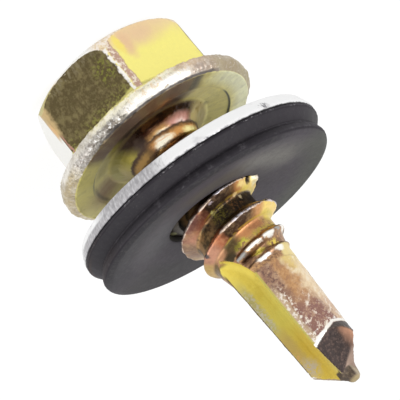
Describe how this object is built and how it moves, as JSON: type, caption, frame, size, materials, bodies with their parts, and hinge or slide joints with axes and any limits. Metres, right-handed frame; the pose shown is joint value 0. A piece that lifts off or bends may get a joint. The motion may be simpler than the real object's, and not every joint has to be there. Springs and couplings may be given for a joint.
{
  "type": "self-drilling screw",
  "caption": "Self-drilling screw with a hexagon washer head, a fluted drill point and a captive steel disc with a bonded rubber seal that leans on the thread.",
  "frame": {"origin": "centre of the top face of the head, on the screw's axis", "axes": "+Z along the screw's axis from the head to the drill point; the hexagon's flats face +X and -X and its corners point to +Y and -Y"},
  "size_m": [0.0133, 0.0133, 0.0204],
  "materials": {
    "zinc_chromate": "yellow chromate over zinc, iridescent",
    "disc_steel": "bright zinc",
    "seal_rubber": "matt, moulded"
  },
  "bodies": {
    "screw": {"screw": "zinc_chromate"},
    "washer": {"seal_disc": "disc_steel", "seal_ring": "seal_rubber"}
  },
  "joints": [
    {"name": "washer_slide", "type": "slide", "parent": "screw", "child": "washer", "axis": [0, 0, 1], "range_m": [-0.0015, 0.0022]}
  ]
}
